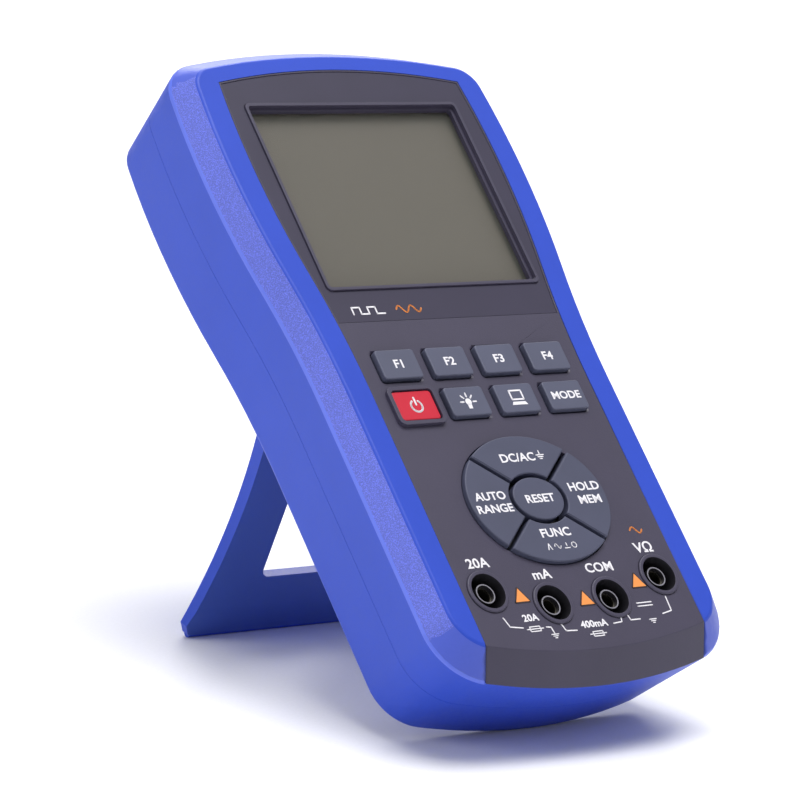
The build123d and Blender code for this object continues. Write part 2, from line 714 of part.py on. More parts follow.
# ---- sockets, fuses ------------------------------------------------------------------------------------
bore_bottom_z = socket_bottom_z + contact_floor + bore_floor
for name, centre in sockets.items():
    shroud = post(socket_radius, centre, socket_lip, socket_bottom_z)
    shroud = fillet(shroud.faces().sort_by(Axis.Z)[-1].edges(), 0.4)
    shroud -= post(socket_hole, centre, 2, socket_bottom_z + 2 * contact_floor)
    shroud += post(socket_tube, centre, socket_tube_z, socket_bottom_z + contact_floor)
    shroud -= post(contact_radius, centre, 2, socket_bottom_z - 1)
    parts["socket_" + name] = shroud
    sleeve = post(contact_radius, centre, contact_z, socket_bottom_z)
    sleeve += post(contact_tail, centre, socket_bottom_z, input_back_z - tail_reach)
    sleeve -= post(contact_bore, centre, 2, bore_bottom_z)
    parts["contact_" + name] = sleeve


def fuse_caps(x):
    """Where the middles of a fuse's two end caps are, along X."""
    return [x + side * (fuse_length - fuse_cap) / 2 for side in (-1, 1)]


def fuse(x):
    """A cartridge fuse lying along X, its tube a little thinner than its two end caps."""
    body = Pos(x, fuse_y, fuse_z) * Rot(0, 90, 0) * Cylinder(fuse_radius - 0.25, fuse_length)
    for at in fuse_caps(x):
        body += Pos(at, fuse_y, fuse_z) * Rot(0, 90, 0) * Cylinder(fuse_radius, fuse_cap)
    return body


def fuse_clip(at):
    """The clip that holds one end cap under the input board, open towards the back."""
    foot_z = fuse_z - 1.0
    block = Box(clip_width, 2 * (fuse_radius + clip_wall), input_back_z - foot_z)
    clip = Pos(at, fuse_y, (input_back_z + foot_z) / 2) * block
    return clip - Pos(at, fuse_y, fuse_z) * Rot(0, 90, 0) * Cylinder(fuse_radius, 2 * clip_width)


parts["fuse_20a"] = fuse(-fuse_x)
parts["fuse_400ma"] = fuse(fuse_x)
parts["fuse_clips"] = Compound([fuse_clip(at) for x in (-fuse_x, fuse_x) for at in fuse_caps(x)])
shunt = Box(shunt_width, shunt_bar, shunt_height)
shunt -= Pos(0, 0, shunt_bar) * Box(shunt_width - 2 * shunt_bar, 3 * shunt_bar, shunt_height)
parts["current_shunt"] = Pos(*shunt_place, input_back_z - shunt_height / 2) * shunt
disc = Pos(0, varistor_y, input_back_z - varistor_radius) * Rot(90, 0, 0)
disc = disc * Cylinder(varistor_radius, varistor_thickness)
parts["varistors"] = Compound([Pos(x, 0, 0) * disc for x in varistor_x])

# ---- battery -------------------------------------------------------------------------------------------
cells = []
springs = []
for index in range(cell_count):
    x = (index - (cell_count - 1) / 2) * cell_pitch
    way = 1 if index % 2 == 0 else -1
    shift = -way * nub_length / 2
    cell = Pos(x, bay_y + shift, cell_z) * Rot(90, 0, 0) * Cylinder(cell_radius, cell_length)
    nub_y = bay_y + way * cell_length / 2
    cell += Pos(x, nub_y, cell_z) * Rot(90, 0, 0) * Cylinder(nub_radius, nub_length)
    cells.append(cell)
    for end in (-1, 1):
        plate_y = bay_y + end * (bay_half_y - contact_plate / 2)
        tab = Pos(x, plate_y, cell_z) * Box(1.4 * cell_radius, contact_plate, 1.25 * cell_radius)
        reach = bay_half_y - contact_plate - (cell_length + nub_length) / 2
        coil_radius = 0.5 * cell_radius if end != way else 0.3 * cell_radius
        coil = Rot(90, 0, 0) * (Cylinder(coil_radius, reach) - Cylinder(coil_radius - coil_wall, reach))
        springs.append(tab + Pos(x, plate_y - end * (contact_plate + reach) / 2, cell_z) * coil)
parts["batteries"] = Compound(cells)
parts["battery_contacts"] = Compound(springs)

door = plate(2 * door_half - 2 * door_gap, door_high - door_low - 2 * door_gap,
             (0, (door_low + door_high) / 2), recess_z + door_thickness, recess_z, 0.8)
for index in range(grip_count):
    groove_middle = (0, door_low + grip_start + grip_pitch * index)
    door -= plate(grip_width, grip_groove, groove_middle, recess_z + door_thickness / 4, recess_z - 1)
for centre in door_screw_points:
    door -= post(door_screw_radius + through, centre, recess_z + 5, recess_z - 1)
    door -= post(door_head_radius + through, centre, recess_z + door_head_seat, recess_z - 1)
parts["battery_door"] = door
parts["battery_door_screws"] = Compound([
    screw(centre, door_head_radius, door_head_height, door_screw_radius - pilot,
          recess_z + door_head_seat, door_tip_z)
    for centre in door_screw_points])

# ---- kickstand -----------------------------------------------------------------------------------------
upward = Vector(0, cos(radians(lean_angle)), sin(radians(lean_angle)))
heel_y = edge_bottom + back_chamfer
heel_height = heel_y * upward.Y + back_z * upward.Z
edge_height = edge_bottom * upward.Y + (back_z + back_chamfer) * upward.Z
floor_level = min(heel_height, edge_height)
toe_along = stand_length - toe_radius
toe_across = stand_thickness / 2 - toe_radius
toe_reach = hypot(toe_along, toe_across)
toe_height = hinge_y * upward.Y + hinge_z * upward.Z - toe_radius - floor_level
open_angle = lean_angle + degrees(acos(toe_height / toe_reach) - atan2(toe_across, toe_along))


def stand_half(at):
    """Half width of the kickstand at a distance from its hinge."""
    return stand_waist + stand_arc - sqrt(stand_arc ** 2 - (at - stand_waist_at) ** 2)


def stand_side(side):
    """One hollow side of the kickstand, from the hinge to the toe corner."""
    end = stand_length - toe_corner
    points = [(side * stand_half(at), -at) for at in (0, end / 2, end)]
    return ThreePointArc(*points)


toe_half = stand_corner_x - toe_taper
barrel_edge = Line((-stand_pivot_x, 0), (stand_pivot_x, 0))
toe_edge = Line((-toe_half, -stand_length), (toe_half, -stand_length))
stand_edges = [barrel_edge, toe_edge]
for side in (-1, 1):
    stand_edges.append(stand_side(side))
    corner = (side * stand_corner_x, toe_corner - stand_length)
    stand_edges.append(Line(corner, (side * toe_half, -stand_length)))
stand_face = make_face(stand_edges)
half = stand_thickness / 2
profile = make_face(Polyline(
    (0, half),
    (toe_start - stand_length, stand_thin - half),
    (toe_radius - stand_length, 2 * toe_radius - half),
    (toe_radius - stand_length, -half),
    (0, -half),
    close=True))
section = extrude(Plane.YZ * profile, 2 * stand_corner_x, both=True)
stand = extrude(stand_face, stand_thickness, both=True) & section
window = make_face(Polyline(
    (-window_top_half, -window_top_at), (window_top_half, -window_top_at),
    (window_foot_half, -window_foot_at), (-window_foot_half, -window_foot_at), close=True))
window = fillet(window.vertices(), window_corner)
stand -= extrude(window, stand_thickness, both=True)
toe = Pos(0, -toe_along, -toe_across) * Rot(0, 90, 0) * Cylinder(toe_radius, 2 * toe_half)
stand += toe
stand += Rot(0, 90, 0) * Cylinder(half, 2 * stand_pivot_x)
stand -= Rot(0, 90, 0) * Cylinder(pin_radius + pin_clearance, 4 * stand_pivot_x)
parts["kickstand"] = Pos(0, hinge_y, hinge_z) * Rot(open_angle, 0, 0) * stand
parts["hinge_pin"] = hinge_pin

# ---- lean it back, stand it on the floor and write it --------------------------------------------------
lean = Rot(90 - lean_angle, 0, 0)
placed = {name: lean * shape for name, shape in parts.items()}
boxes = [shape.bounding_box() for shape in placed.values()]
low_y = min(box.min.Y for box in boxes)
high_y = max(box.max.Y for box in boxes)
floor_z = min(box.min.Z for box in boxes)
to_floor = Pos(0, -(low_y + high_y) / 2, -floor_z)

os.makedirs("parts", exist_ok=True)
for name, shape in placed.items():
    export_step(to_floor * shape, f"parts/{name}.step")
print(f"kickstand opens {open_angle:.2f} degrees; floor at {floor_z:.3f}")
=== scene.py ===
"""Looks of a handheld oscilloscope and multimeter that stands on its open kickstand.

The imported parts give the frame. Every part is shown as a copy with broken edges and smooth shading, in
the finish of its real material; the printed legends and the screws are made here. Sizes are in
millimetres in the instrument's own axes: X across, Y from the bottom end up, Z out of the face.
"""
import json
import logging
import math
from dataclasses import dataclass
from enum import Enum
from typing import Any, Callable, ClassVar, Iterable, Sequence

import bmesh
import bpy
from mathutils import Matrix, Vector

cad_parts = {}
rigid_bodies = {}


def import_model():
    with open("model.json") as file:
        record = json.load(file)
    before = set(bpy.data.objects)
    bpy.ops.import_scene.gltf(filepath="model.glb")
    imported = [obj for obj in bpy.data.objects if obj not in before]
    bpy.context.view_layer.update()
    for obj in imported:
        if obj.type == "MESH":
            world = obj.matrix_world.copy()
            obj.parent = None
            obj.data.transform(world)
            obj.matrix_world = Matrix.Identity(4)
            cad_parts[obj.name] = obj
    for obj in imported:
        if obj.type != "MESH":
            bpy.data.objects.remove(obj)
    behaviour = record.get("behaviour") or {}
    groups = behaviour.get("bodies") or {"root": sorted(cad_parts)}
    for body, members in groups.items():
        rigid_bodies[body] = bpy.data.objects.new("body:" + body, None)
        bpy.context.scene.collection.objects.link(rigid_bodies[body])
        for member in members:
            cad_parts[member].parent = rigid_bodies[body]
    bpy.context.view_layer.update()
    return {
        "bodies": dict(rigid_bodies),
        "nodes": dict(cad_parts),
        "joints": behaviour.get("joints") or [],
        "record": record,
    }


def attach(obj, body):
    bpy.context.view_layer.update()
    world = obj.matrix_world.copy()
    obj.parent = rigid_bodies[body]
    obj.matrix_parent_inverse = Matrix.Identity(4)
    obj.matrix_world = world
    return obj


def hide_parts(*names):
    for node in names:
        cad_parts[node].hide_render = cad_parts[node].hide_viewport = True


LOG = logging.getLogger("scope")
MM = 0.001
KEY_COLUMNS = (-24.3, -8.1, 8.1, 24.3)
UPPER_KEYS, LOWER_KEYS = 90.6, 78.65

Point2 = tuple[float, float]
Span = tuple[float, float]
Pick = Callable[[bmesh.types.BMEdge, float], float]
Choose = Callable[[Vector, Vector], int]


# ---- shader and mesh helpers ---------------------------------------------------------------------------
def linear(hex_colour: str) -> tuple[float, float, float, float]:
    """Turn an sRGB hex colour into linear RGBA.

    Args:
        hex_colour: Six hex digits, such as "4157be".

    Returns:
        Linear red, green, blue and an alpha of 1.
    """
    parts = [int(hex_colour[i:i + 2], 16) / 255 for i in (0, 2, 4)]
    low, power = 0.04045, 2.4
    values = [c / 12.92 if c <= low else ((c + 0.055) / 1.055) ** power for c in parts]
    return (values[0], values[1], values[2], 1.0)


def add_node(tree: bpy.types.NodeTree, kind: str, values: dict[Any, Any] | None = None,
             links: dict[Any, Any] | None = None, **settings: Any) -> bpy.types.Node:
    """Add one node with its settings, socket values and incoming links.

    Args:
        tree: Node tree that takes the node.
        kind: Node type identifier.
        values: Default value of each input socket, by name or index.
        links: Output socket that feeds each input socket, by name or index.
        settings: Attributes of the node itself.

    Returns:
        The new node.
    """
    node = tree.nodes.new(kind)
    for key, value in settings.items():
        setattr(node, key, value)
    for key, value in (values or {}).items():
        node.inputs[key].default_value = value
    for key, socket in (links or {}).items():
        tree.links.new(socket, node.inputs[key])
    return node


def remap(tree: bpy.types.NodeTree, value: Any, span: Span, onto: Span) -> Any:
    """Map one span of a value onto another.

    Args:
        tree: Node tree that takes the node.
        value: Socket with the value.
        span: Its lowest and highest value.
        onto: What these two become.

    Returns:
        Socket with the mapped value.
    """
    limits = {"From Min": span[0], "From Max": span[1], "To Min": onto[0], "To Max": onto[1]}
    return add_node(tree, "ShaderNodeMapRange", limits, {"Value": value}).outputs[0]


def times(tree: bpy.types.NodeTree, value: Any, factor: float) -> Any:
    """Multiply the value of a socket and return the socket with the product."""
    return add_node(tree, "ShaderNodeMath", {1: factor}, {0: value}, operation="MULTIPLY").outputs[0]


class Grain(Enum):
    """How a surface was made, which decides its fine relief."""

    MOULDED = "moulded"        # polished or finely blasted tool: almost smooth, a faint orange peel
    SPARKED = "sparked"        # spark-eroded tool: crisp pits that catch the light
    BRUSHED = "brushed"        # rolled or brushed metal: fine lines one way
    PRINTED = "printed"        # ink or film: flat with a very faint tooth


@dataclass(frozen=True)
class Finish:
    """One real material and how its surface was made."""

    name: str
    colour: str
    roughness: float
    grain: Grain = Grain.MOULDED
    grain_mm: float = 0.5
    relief: float = 0.1
    metallic: float = 0.0
    ior: float = 1.5
    coat: float = 0.0
    alpha: float = 1.0
    drift: float = 0.06
    painted_glint: float = 0.03

    brush_squeeze: ClassVar[float] = 0.04
    drift_mm: ClassVar[float] = 18.0
    painted_shade_share: ClassVar[float] = 0.3
    depth_share: ClassVar[float] = 0.3
    pit_gain: ClassVar[float] = 1.8
    gloss_least: ClassVar[float] = 0.02
    gloss_spread: ClassVar[Span] = (0.05, 0.07)
    coat_roughness: ClassVar[float] = 0.12

    def build(self) -> bpy.types.Material:
        """Build the node material.

        Returns:
            The finished material, named for the real one.
        """
        made = bpy.data.materials.new(self.name)
        made.use_nodes = True
        tree = made.node_tree
        tree.nodes.clear()
        base = linear(self.colour)
        place = add_node(tree, "ShaderNodeTexCoord")
        where = place.outputs["Object"]
        if self.grain is Grain.BRUSHED:
            # the lines run along X, so the pattern is drawn out along it
            stretch = add_node(tree, "ShaderNodeMapping", {"Scale": (self.brush_squeeze, 1.0, 1.0)},
                               {"Vector": where})
            where = stretch.outputs[0]
        # slow drift of tone, as pigment and gloss vary over a moulding or a rolled sheet
        drift = add_node(tree, "ShaderNodeTexNoise", {"Scale": 1 / (self.drift_mm * MM), "Detail": 3.0},
                         {"Vector": where})
        tone = remap(tree, drift.outputs["Fac"], (0.3, 0.7), (1 - self.drift, 1 + self.drift))
        fine = self._fine(tree, where)
        # specks: the colour is made lighter where the fine relief stands high, a painted glint, and a little
        # darker where it is low, painted shade
        specks = (1 - self.painted_shade_share * self.painted_glint, 1 + self.painted_glint)
        speck = remap(tree, fine, (0.25, 0.75), specks)
        shade = add_node(tree, "ShaderNodeMath", None, {0: tone, 1: speck}, operation="MULTIPLY")
        colour = add_node(tree, "ShaderNodeVectorMath", {0: base[:3]}, {"Scale": shade.outputs[0]},
                          operation="SCALE")
        less, more = self.gloss_spread
        rough = (max(self.roughness - less, self.gloss_least), min(self.roughness + more, 1.0))
        gloss = remap(tree, fine, (0.2, 0.8), rough)
        depth = self.depth_share * self.grain_mm * MM
        bump = add_node(tree, "ShaderNodeBump", {"Strength": self.relief, "Distance": depth},
                        {"Height": fine})
        shader = add_node(tree, "ShaderNodeBsdfPrincipled",
                          {"Metallic": self.metallic, "IOR": self.ior, "Alpha": self.alpha,
                           "Coat Weight": self.coat, "Coat Roughness": self.coat_roughness},
                          {"Base Color": colour.outputs[0], "Roughness": gloss, "Normal": bump.outputs[0]})
        add_node(tree, "ShaderNodeOutputMaterial", None, {"Surface": shader.outputs[0]})
        made.diffuse_color = base
        return made

    def _fine(self, tree: bpy.types.NodeTree, where: Any) -> Any:
        """Add the fine relief of this grain.

        Args:
            tree: The material's node tree.
            where: Socket with the coordinates.

        Returns:
            Socket with the relief's height, about 0 to 1.
        """
        scale = 1 / (self.grain_mm * MM)
        noise = add_node(tree, "ShaderNodeTexNoise", {"Scale": scale, "Detail": 2.0, "Roughness": 0.6},
                         {"Vector": where})
        if self.grain is not Grain.SPARKED:
            return noise.outputs["Fac"]
        # pits with flat lands between them: cells mixed with the noise
        cells = add_node(tree, "ShaderNodeTexVoronoi", {"Scale": scale, "Randomness": 1.0}, {"Vector": where})
        mixed = add_node(tree, "ShaderNodeMath", None,
                         {0: noise.outputs["Fac"], 1: cells.outputs["Distance"]}, operation="MULTIPLY")
        return times(tree, mixed.outputs[0], self.pit_gain)


class Finishes:
    """All finishes of the instrument, each built once when it is first asked for."""

    table = {
        # ABS/PC blend, moulded in a polished tool: deep even blue with a soft satin sheen
        "blue_casing": Finish("ABS_blue_satin", "2849c0", 0.46, grain_mm=0.8, relief=0.05, ior=1.42,
                              drift=0.03),
        # the same blend against a spark-eroded tool, with a crisp sparkle: the paler colour is partly its
        # texture and partly a painted highlight where the bevel faces the lamps, and its specks are painted
        # glints
        "casing_sparked_painted_highlight": Finish("ABS_blue_spark_eroded_painted_highlight", "5865c6", 0.4, Grain.SPARKED, 0.3, 1.0, drift=0.03,
                                 painted_glint=0.42),
        # the same blend where the bevel's texture ends at the corners: plain, but painted as pale as the
        # textured bevel, a painted highlight where the bevel faces the lamps
        "casing_facet_painted_highlight": Finish("ABS_blue_plain_facet_painted_highlight", "4a5dc6", 0.42, grain_mm=0.8, relief=0.05, drift=0.03),
        # the same blend on the side of the stand that faces the casing: rougher, and painted darker and
        # greyer as painted shade under the casing
        "stand_painted_shade": Finish("ABS_blue_painted_shade", "3855ab", 0.6, grain_mm=0.8, relief=0.05, drift=0.03),
        # the same blend at the bevel's lower edge, painted bright: a thin painted highlight line
        "casing_edge_painted_highlight": Finish("ABS_blue_painted_edge_highlight", "5a70e0", 0.35, relief=0.0, drift=0.02),
        # ABS, fine blasted tool: charcoal with a violet cast and a dry satin sheen
        "panel_plastic": Finish("ABS_charcoal_blasted", "3f3b50", 0.5, Grain.SPARKED, 0.3, 0.25, drift=0.05),
        # printed polycarbonate film, velvet side out: flat, a little darker than the panel
        "surround_plastic": Finish("polycarbonate_film_velvet", "332f45", 0.45, Grain.PRINTED, 0.25, 0.08),
        # clear acrylic: nearly invisible, with a crisp reflection
        "clear_lens": Finish("acrylic_clear", "c9cec6", 0.12, alpha=0.07, ior=1.4, drift=0.0, relief=0.0),
        # unlit liquid crystal glass over its reflector: flat grey-green
        "lcd_glass": Finish("lcd_reflective_glass", "4a4037", 0.32, Grain.PRINTED, 0.3, 0.02, drift=0.02),
        "light_guide": Finish("acrylic_frosted", "e6e8e6", 0.5),
        # translucent red silicone with a hard coat: strong red, soft gloss
        "red_key": Finish("silicone_red_hard_coated", "c80f30", 0.5, grain_mm=0.4, relief=0.05, drift=0.03),
        # silicone rubber with a hard coat: slate grey with a soft broad sheen
        "key_plastic": Finish("silicone_slate_hard_coated", "51546a", 0.5, grain_mm=0.4, relief=0.08),
        # the same rubber with a drier coat: the pad looks a shade darker than the keys
        "pad_rubber": Finish("silicone_slate_dry_coated", "464960", 0.55, grain_mm=0.4, relief=0.08),
        "socket_plastic": Finish("nylon_black_glass_filled", "26252b", 0.45, grain_mm=0.4),
        # the lit rim of each insulating tube: the same nylon, painted pale as a painted highlight
        "socket_rim_painted_highlight": Finish("nylon_painted_highlight", "86848f", 0.5, grain_mm=0.3),
        # nickel-plated brass: painted dark grey as painted shade deep in the socket, with a hint of warmth
        "brass_contacts": Finish("brass_nickel_plated_painted_shade", "6e6a62", 0.4, Grain.BRUSHED, 0.2, 0.1, metallic=1.0),
        "circuit_board": Finish("FR4_green_solder_mask", "1f6b3f", 0.3, grain_mm=1.2, relief=0.15, coat=0.3),
        "black_components": Finish("epoxy_black_moulded", "1d1d1f", 0.5),
        "silicone_rubber": Finish("silicone_grey", "8b8c8f", 0.7),
        "fuse_body": Finish("ceramic_white_glazed", "e2ded2", 0.2, coat=0.4),
        "component_lacquer": Finish("epoxy_blue_dipped", "274c9e", 0.3, coat=0.3),
        "cell_sleeve": Finish("PET_shrink_sleeve_graphite", "3a3d44", 0.25, coat=0.2),
        "steel": Finish("steel_zinc_plated", "b9bcc2", 0.3, Grain.BRUSHED, 0.25, 0.12, metallic=1.0),
        # screen-printed two-part ink
        "ink_white": Finish("ink_white_screen_printed", "eceaf0", 0.6, Grain.PRINTED, 0.3, 0.05, drift=0.02),
        "ink_black": Finish("ink_black_screen_printed", "2a2226", 0.6, Grain.PRINTED, 0.3, 0.05, drift=0.02),
        "ink_orange": Finish("ink_orange_screen_printed", "f0954a", 0.6, Grain.PRINTED, 0.3, 0.05,
                             drift=0.02),
    }
    made: dict[str, bpy.types.Material] = {}

    @classmethod
    def get(cls, key: str) -> bpy.types.Material:
        """Return the material for a finish, building it the first time."""
        if key not in cls.made:
            cls.made[key] = cls.table[key].build()
        return cls.made[key]


# ---- the instrument's own axes -------------------------------------------------------------------------
@dataclass(frozen=True)
class Axes:
    """Where the instrument's own axes lie in the shared frame."""

    matrix: Matrix
    socket_y: float = 20.8
    contact_z: float = -2.2

    @classmethod
    def from_record(cls, record: dict[str, Any]) -> "Axes":
        """Work the axes out from the two inner test sockets.

        Args:
            record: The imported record.

        Returns:
            The axes, as a matrix from millimetres to the frame's metres.
        """
        mounts = {mount["name"]: mount for mount in record["mounts"]}
        left, right = mounts["banana_socket_ma"], mounts["banana_socket_com"]
        out = Vector(left["axis"])
        along = out.cross(Vector((1, 0, 0)))
        middle = (Vector(left["pos_m"]) + Vector(right["pos_m"])) / 2
        depth = cls.contact_z - left["dims"]["length_mm"] / 2
        origin = middle - along * cls.socket_y * MM - out * depth * MM
        turn = Matrix((out.cross(along) * -1, along, out)).transposed().to_4x4()
        return cls(Matrix.Translation(origin) @ turn @ Matrix.Scale(MM, 4))


class Maker:
    """Makes meshes in the instrument's millimetres and puts them in the shared frame."""

    weld_gap = 0.002
    flat_bend = math.radians(0.4)
    sharp_bend = math.radians(34.0)
    break_faces = 2
    normal_weight = 70
    print_half = 0.05

    def __init__(self, axes: Axes) -> None:
        """Keep the axes that every mesh is placed with."""
        self.axes = axes
        self.to_local = axes.matrix.inverted()

    def link(self, name: str, mesh: bpy.types.Mesh) -> bpy.types.Object:
        """Make an object of a mesh and link it to the scene."""
        made = bpy.data.objects.new(name, mesh)
        bpy.context.scene.collection.objects.link(made)
        return made

    def bake(self, piece: bpy.types.Object) -> None:
        """Replace a piece's mesh by what its modifiers make of it, and remove them."""
        graph = bpy.context.evaluated_depsgraph_get()
        mesh = bpy.data.meshes.new_from_object(piece.evaluated_get(graph))
        piece.modifiers.clear()
        piece.data = mesh
        mesh.name = piece.name

    def local_copy(self, source: bpy.types.Object, name: str) -> bpy.types.Object:
        """Copy a mesh into millimetres, with its loose triangles joined and its flat areas whole."""
        piece = self.link(name, source.data.copy())
        piece.data.transform(self.to_local)
        joined = bmesh.new()
        joined.from_mesh(piece.data)
        bmesh.ops.remove_doubles(joined, verts=joined.verts, dist=self.weld_gap)
        bmesh.ops.dissolve_limit(joined, angle_limit=self.flat_bend, verts=joined.verts, edges=joined.edges)
        joined.to_mesh(piece.data)
        joined.free()
        return piece

    def soften(self, piece: bpy.types.Object, width: float, pick: Pick | None = None) -> None:
        """Break a piece's sharp edges and shade it smooth.

        Args:
            piece: The piece, in millimetres.
            width: Width of the broken edge; 0 leaves the edges sharp.
            pick: Gives each edge its share of the width, from the edge and its bend in degrees.
        """
        if width > 0:
            soft = piece.modifiers.new("soft", "BEVEL")
            soft.width = width
            soft.segments = self.break_faces
            soft.limit_method = "ANGLE"
            soft.angle_limit = self.sharp_bend
            soft.use_clamp_overlap = pick is None
            if pick:
                self.weigh(piece, pick)
                soft.limit_method = "WEIGHT"
            self.bake(piece)
        for polygon in piece.data.polygons:
            polygon.use_smooth = True
        piece.data.set_sharp_from_angle(angle=self.sharp_bend)
        even = piece.modifiers.new("even", "WEIGHTED_NORMAL")
        even.keep_sharp = True
        even.weight = self.normal_weight
        self.bake(piece)

    def weigh(self, piece: bpy.types.Object, pick: Pick) -> None:
        """Give a piece's edges their shares of the broken width."""
        net = bmesh.new()
        net.from_mesh(piece.data)
        layer = net.edges.layers.float.new("bevel_weight_edge")
        for edge in net.edges:
            bend = math.degrees(edge.calc_face_angle(0.0)) if len(edge.link_faces) == 2 else 0.0
            edge[layer] = pick(edge, bend)
        net.to_mesh(piece.data)
        net.free()

    def clear_underside(self, piece: bpy.types.Object, gap: float) -> None:
        """Lift a placed piece's lowest face off what it lies on, so that the two don't coincide."""
        heights = [(self.to_local @ vertex.co).z for vertex in piece.data.vertices]
        lift = self.axes.matrix.to_3x3() @ Vector((0, 0, gap))
        for vertex, height in zip(piece.data.vertices, heights):
            if height < min(heights) + gap / 2:
                vertex.co += lift

    def place(self, piece: bpy.types.Object) -> bpy.types.Object:
        """Move a mesh from the instrument's millimetres into the frame."""
        piece.data.transform(self.axes.matrix)
        return piece

    def solid_ribbon(self, name: str, outlines: Iterable[Sequence[Point2]], z: float) -> bpy.types.Object:
        """Make one thin closed mesh of flat convex outlines, each counter-clockwise."""
        thick = self.print_half
        points: list[tuple[float, float, float]] = []
        faces: list[list[int]] = []
        for outline in outlines:
            base, count = len(points), len(outline)
            points += [(x, y, z + thick) for x, y in outline] + [(x, y, z - thick) for x, y in outline]
            faces.append([base + i for i in range(count)])
            faces.append([base + count + i for i in reversed(range(count))])
            for i in range(count):
                j = (i + 1) % count
                faces.append([base + j, base + i, base + count + i, base + count + j])
        mesh = bpy.data.meshes.new(name)
        mesh.from_pydata(points, [], faces)
        return self.link(name, mesh)


class Dresser:
    """Gives pieces their finish and body and keeps the log."""

    def __init__(self, frame: dict[str, Any], maker: Maker) -> None:
        """Keep the frame and find each node's body and slot; no node is shown yet."""
        record = frame["record"]
        self.maker = maker
        self.nodes = frame["nodes"]
        self.shown: set[str] = set()
        self.body_of = {node: body for body, nodes in record["behaviour"]["bodies"].items() for node in nodes}
        self.slot_of = {part["node"]: part["material_slot"] for part in record["subparts"]}

    def dress(self, piece: bpy.types.Object, body: str, finishes: Sequence[str], slot: str | None = None,
              replaces: Sequence[str] = ()) -> bpy.types.Object:
        """Set a piece's finishes, body and the nodes that it stands for.

        Args:
            piece: The piece, in place.
            body: Body that it moves with.
            finishes: Keys of its finishes, in the order of its material indices.
            slot: Material slot of the record, if it has one; not used.
            replaces: Nodes that it stands for.

        Returns:
            The piece.
        """
        indices = [polygon.material_index for polygon in piece.data.polygons]
        piece.data.materials.clear()
        for finish in finishes:
            piece.data.materials.append(Finishes.get(finish))
        piece.data.polygons.foreach_set("material_index", [min(i, len(finishes) - 1) for i in indices])
        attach(piece, body)
        if replaces:
            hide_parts(*replaces)
            self.shown.update(replaces)
        LOG.info("%s: %d faces on %s", piece.name, len(piece.data.polygons), body)
        return piece

    def stand_in(self, node: str, name: str, width: float = 0.0, finishes: Sequence[str] = (),
                 choose: Choose | None = None, pick: Pick | None = None) -> bpy.types.Object:
        """Show a softened copy in place of a node.

        Args:
            node: The node.
            name: Name of the copy.
            width: Width of its broken edges.
            finishes: Keys of its finishes, if not the record slot's own.
            choose: Gives each face's finish index from its centre and normal.
            pick: Gives each edge its share of the width.

        Returns:
            The copy, in place.
        """
        piece = self.maker.local_copy(self.nodes[node], name)
        self.maker.soften(piece, width, pick=pick)
        if choose:
            chosen = [choose(polygon.center, polygon.normal) for polygon in piece.data.polygons]
            piece.data.polygons.foreach_set("material_index", chosen)
        self.maker.place(piece)
        slot = self.slot_of[node]
        return self.dress(piece, self.body_of[node], finishes or (slot,), slot, [node])

    def top_of(self, node: str) -> float:
        """Highest Z of a node in the instrument's millimetres."""
        return max((self.maker.to_local @ v.co).z for v in self.nodes[node].data.vertices)


# ---- casing, panel and stand ---------------------------------------------------------------------------
@dataclass(frozen=True)
class Housing:
    """The two halves of the casing, the panel and the film let into it."""

    bevel_drop: float = 5.6
    rim_break: float = 0.6
    panel_break: float = 0.14
    cover_break: float = 0.25
    film_break: float = 0.08
    lens_gap: float = 0.1
    seam_z: float = -19.0
    seam_share: float = 0.22
    seam_reach: float = 0.02
    spark_from: float = 17.0
    spark_to: float = 180.0
    soft_bend: float = 25.0
    steep_bend: float = 70.0
    shortest_edge: float = 0.2
    face_depth: float = 1.0
    rim_depth: float = 0.45

    def slope(self, edge: bmesh.types.BMEdge, bend: float) -> float:
        """Break the edges of the bevel and the chamfer, and lightly the seam of the two halves."""
        long_enough = edge.calc_length() > self.shortest_edge
        if self.soft_bend < bend < self.steep_bend and edge.is_convex and long_enough:
            return 1.0
        on_seam = all(abs(v.co.z - self.seam_z) < self.seam_reach for v in edge.verts)
        return self.seam_share * (bend > self.steep_bend and on_seam)

    def face_edge(self, edge: bmesh.types.BMEdge, bend: float) -> float:
        """Break the edges on the face side of a moulding."""
        in_view = all(v.co.z > -self.face_depth for v in edge.verts)
        long_enough = edge.calc_length() > self.shortest_edge
        return float(bend > self.soft_bend and edge.is_convex and in_view and long_enough)

    def band(self, centre: Vector, normal: Vector) -> int:
        """Tell the bevel's textured faces (1), its lower edge (2) and its corners (3) from the rest (0); all
        three carry painted highlight.
        """
        if abs(centre.z + self.bevel_drop) < self.rim_break and 0.02 < normal.z < 0.64:
            return 2
        sloped = 0.45 < normal.z < 0.85 and -self.bevel_drop < centre.z < -self.rim_depth
        if not sloped:
            return 0
        return 1 if self.spark_from < centre.y < self.spark_to else 3

    def build(self, dresser: Dresser) -> None:
        """Show the casing: a spark-eroded bevel round the face with painted highlight on it and on its lower
        edge, satin elsewhere.
        """
        blues = ("blue_casing", "casing_sparked_painted_highlight", "casing_edge_painted_highlight", "casing_facet_painted_highlight")
        dresser.stand_in("front_shell", "front_casing", self.rim_break, blues, self.band, self.slope)
        dresser.stand_in("rear_shell", "rear_casing", self.rim_break, pick=self.slope)
        dresser.stand_in("battery_door", "battery_cover", self.cover_break)
        dresser.stand_in("front_panel", "face_panel", self.panel_break, pick=self.face_edge)
        dresser.stand_in("display_surround", "display_film", self.film_break)
        lens = dresser.stand_in("display_window", "display_lens")
        dresser.maker.clear_underside(lens, self.lens_gap)


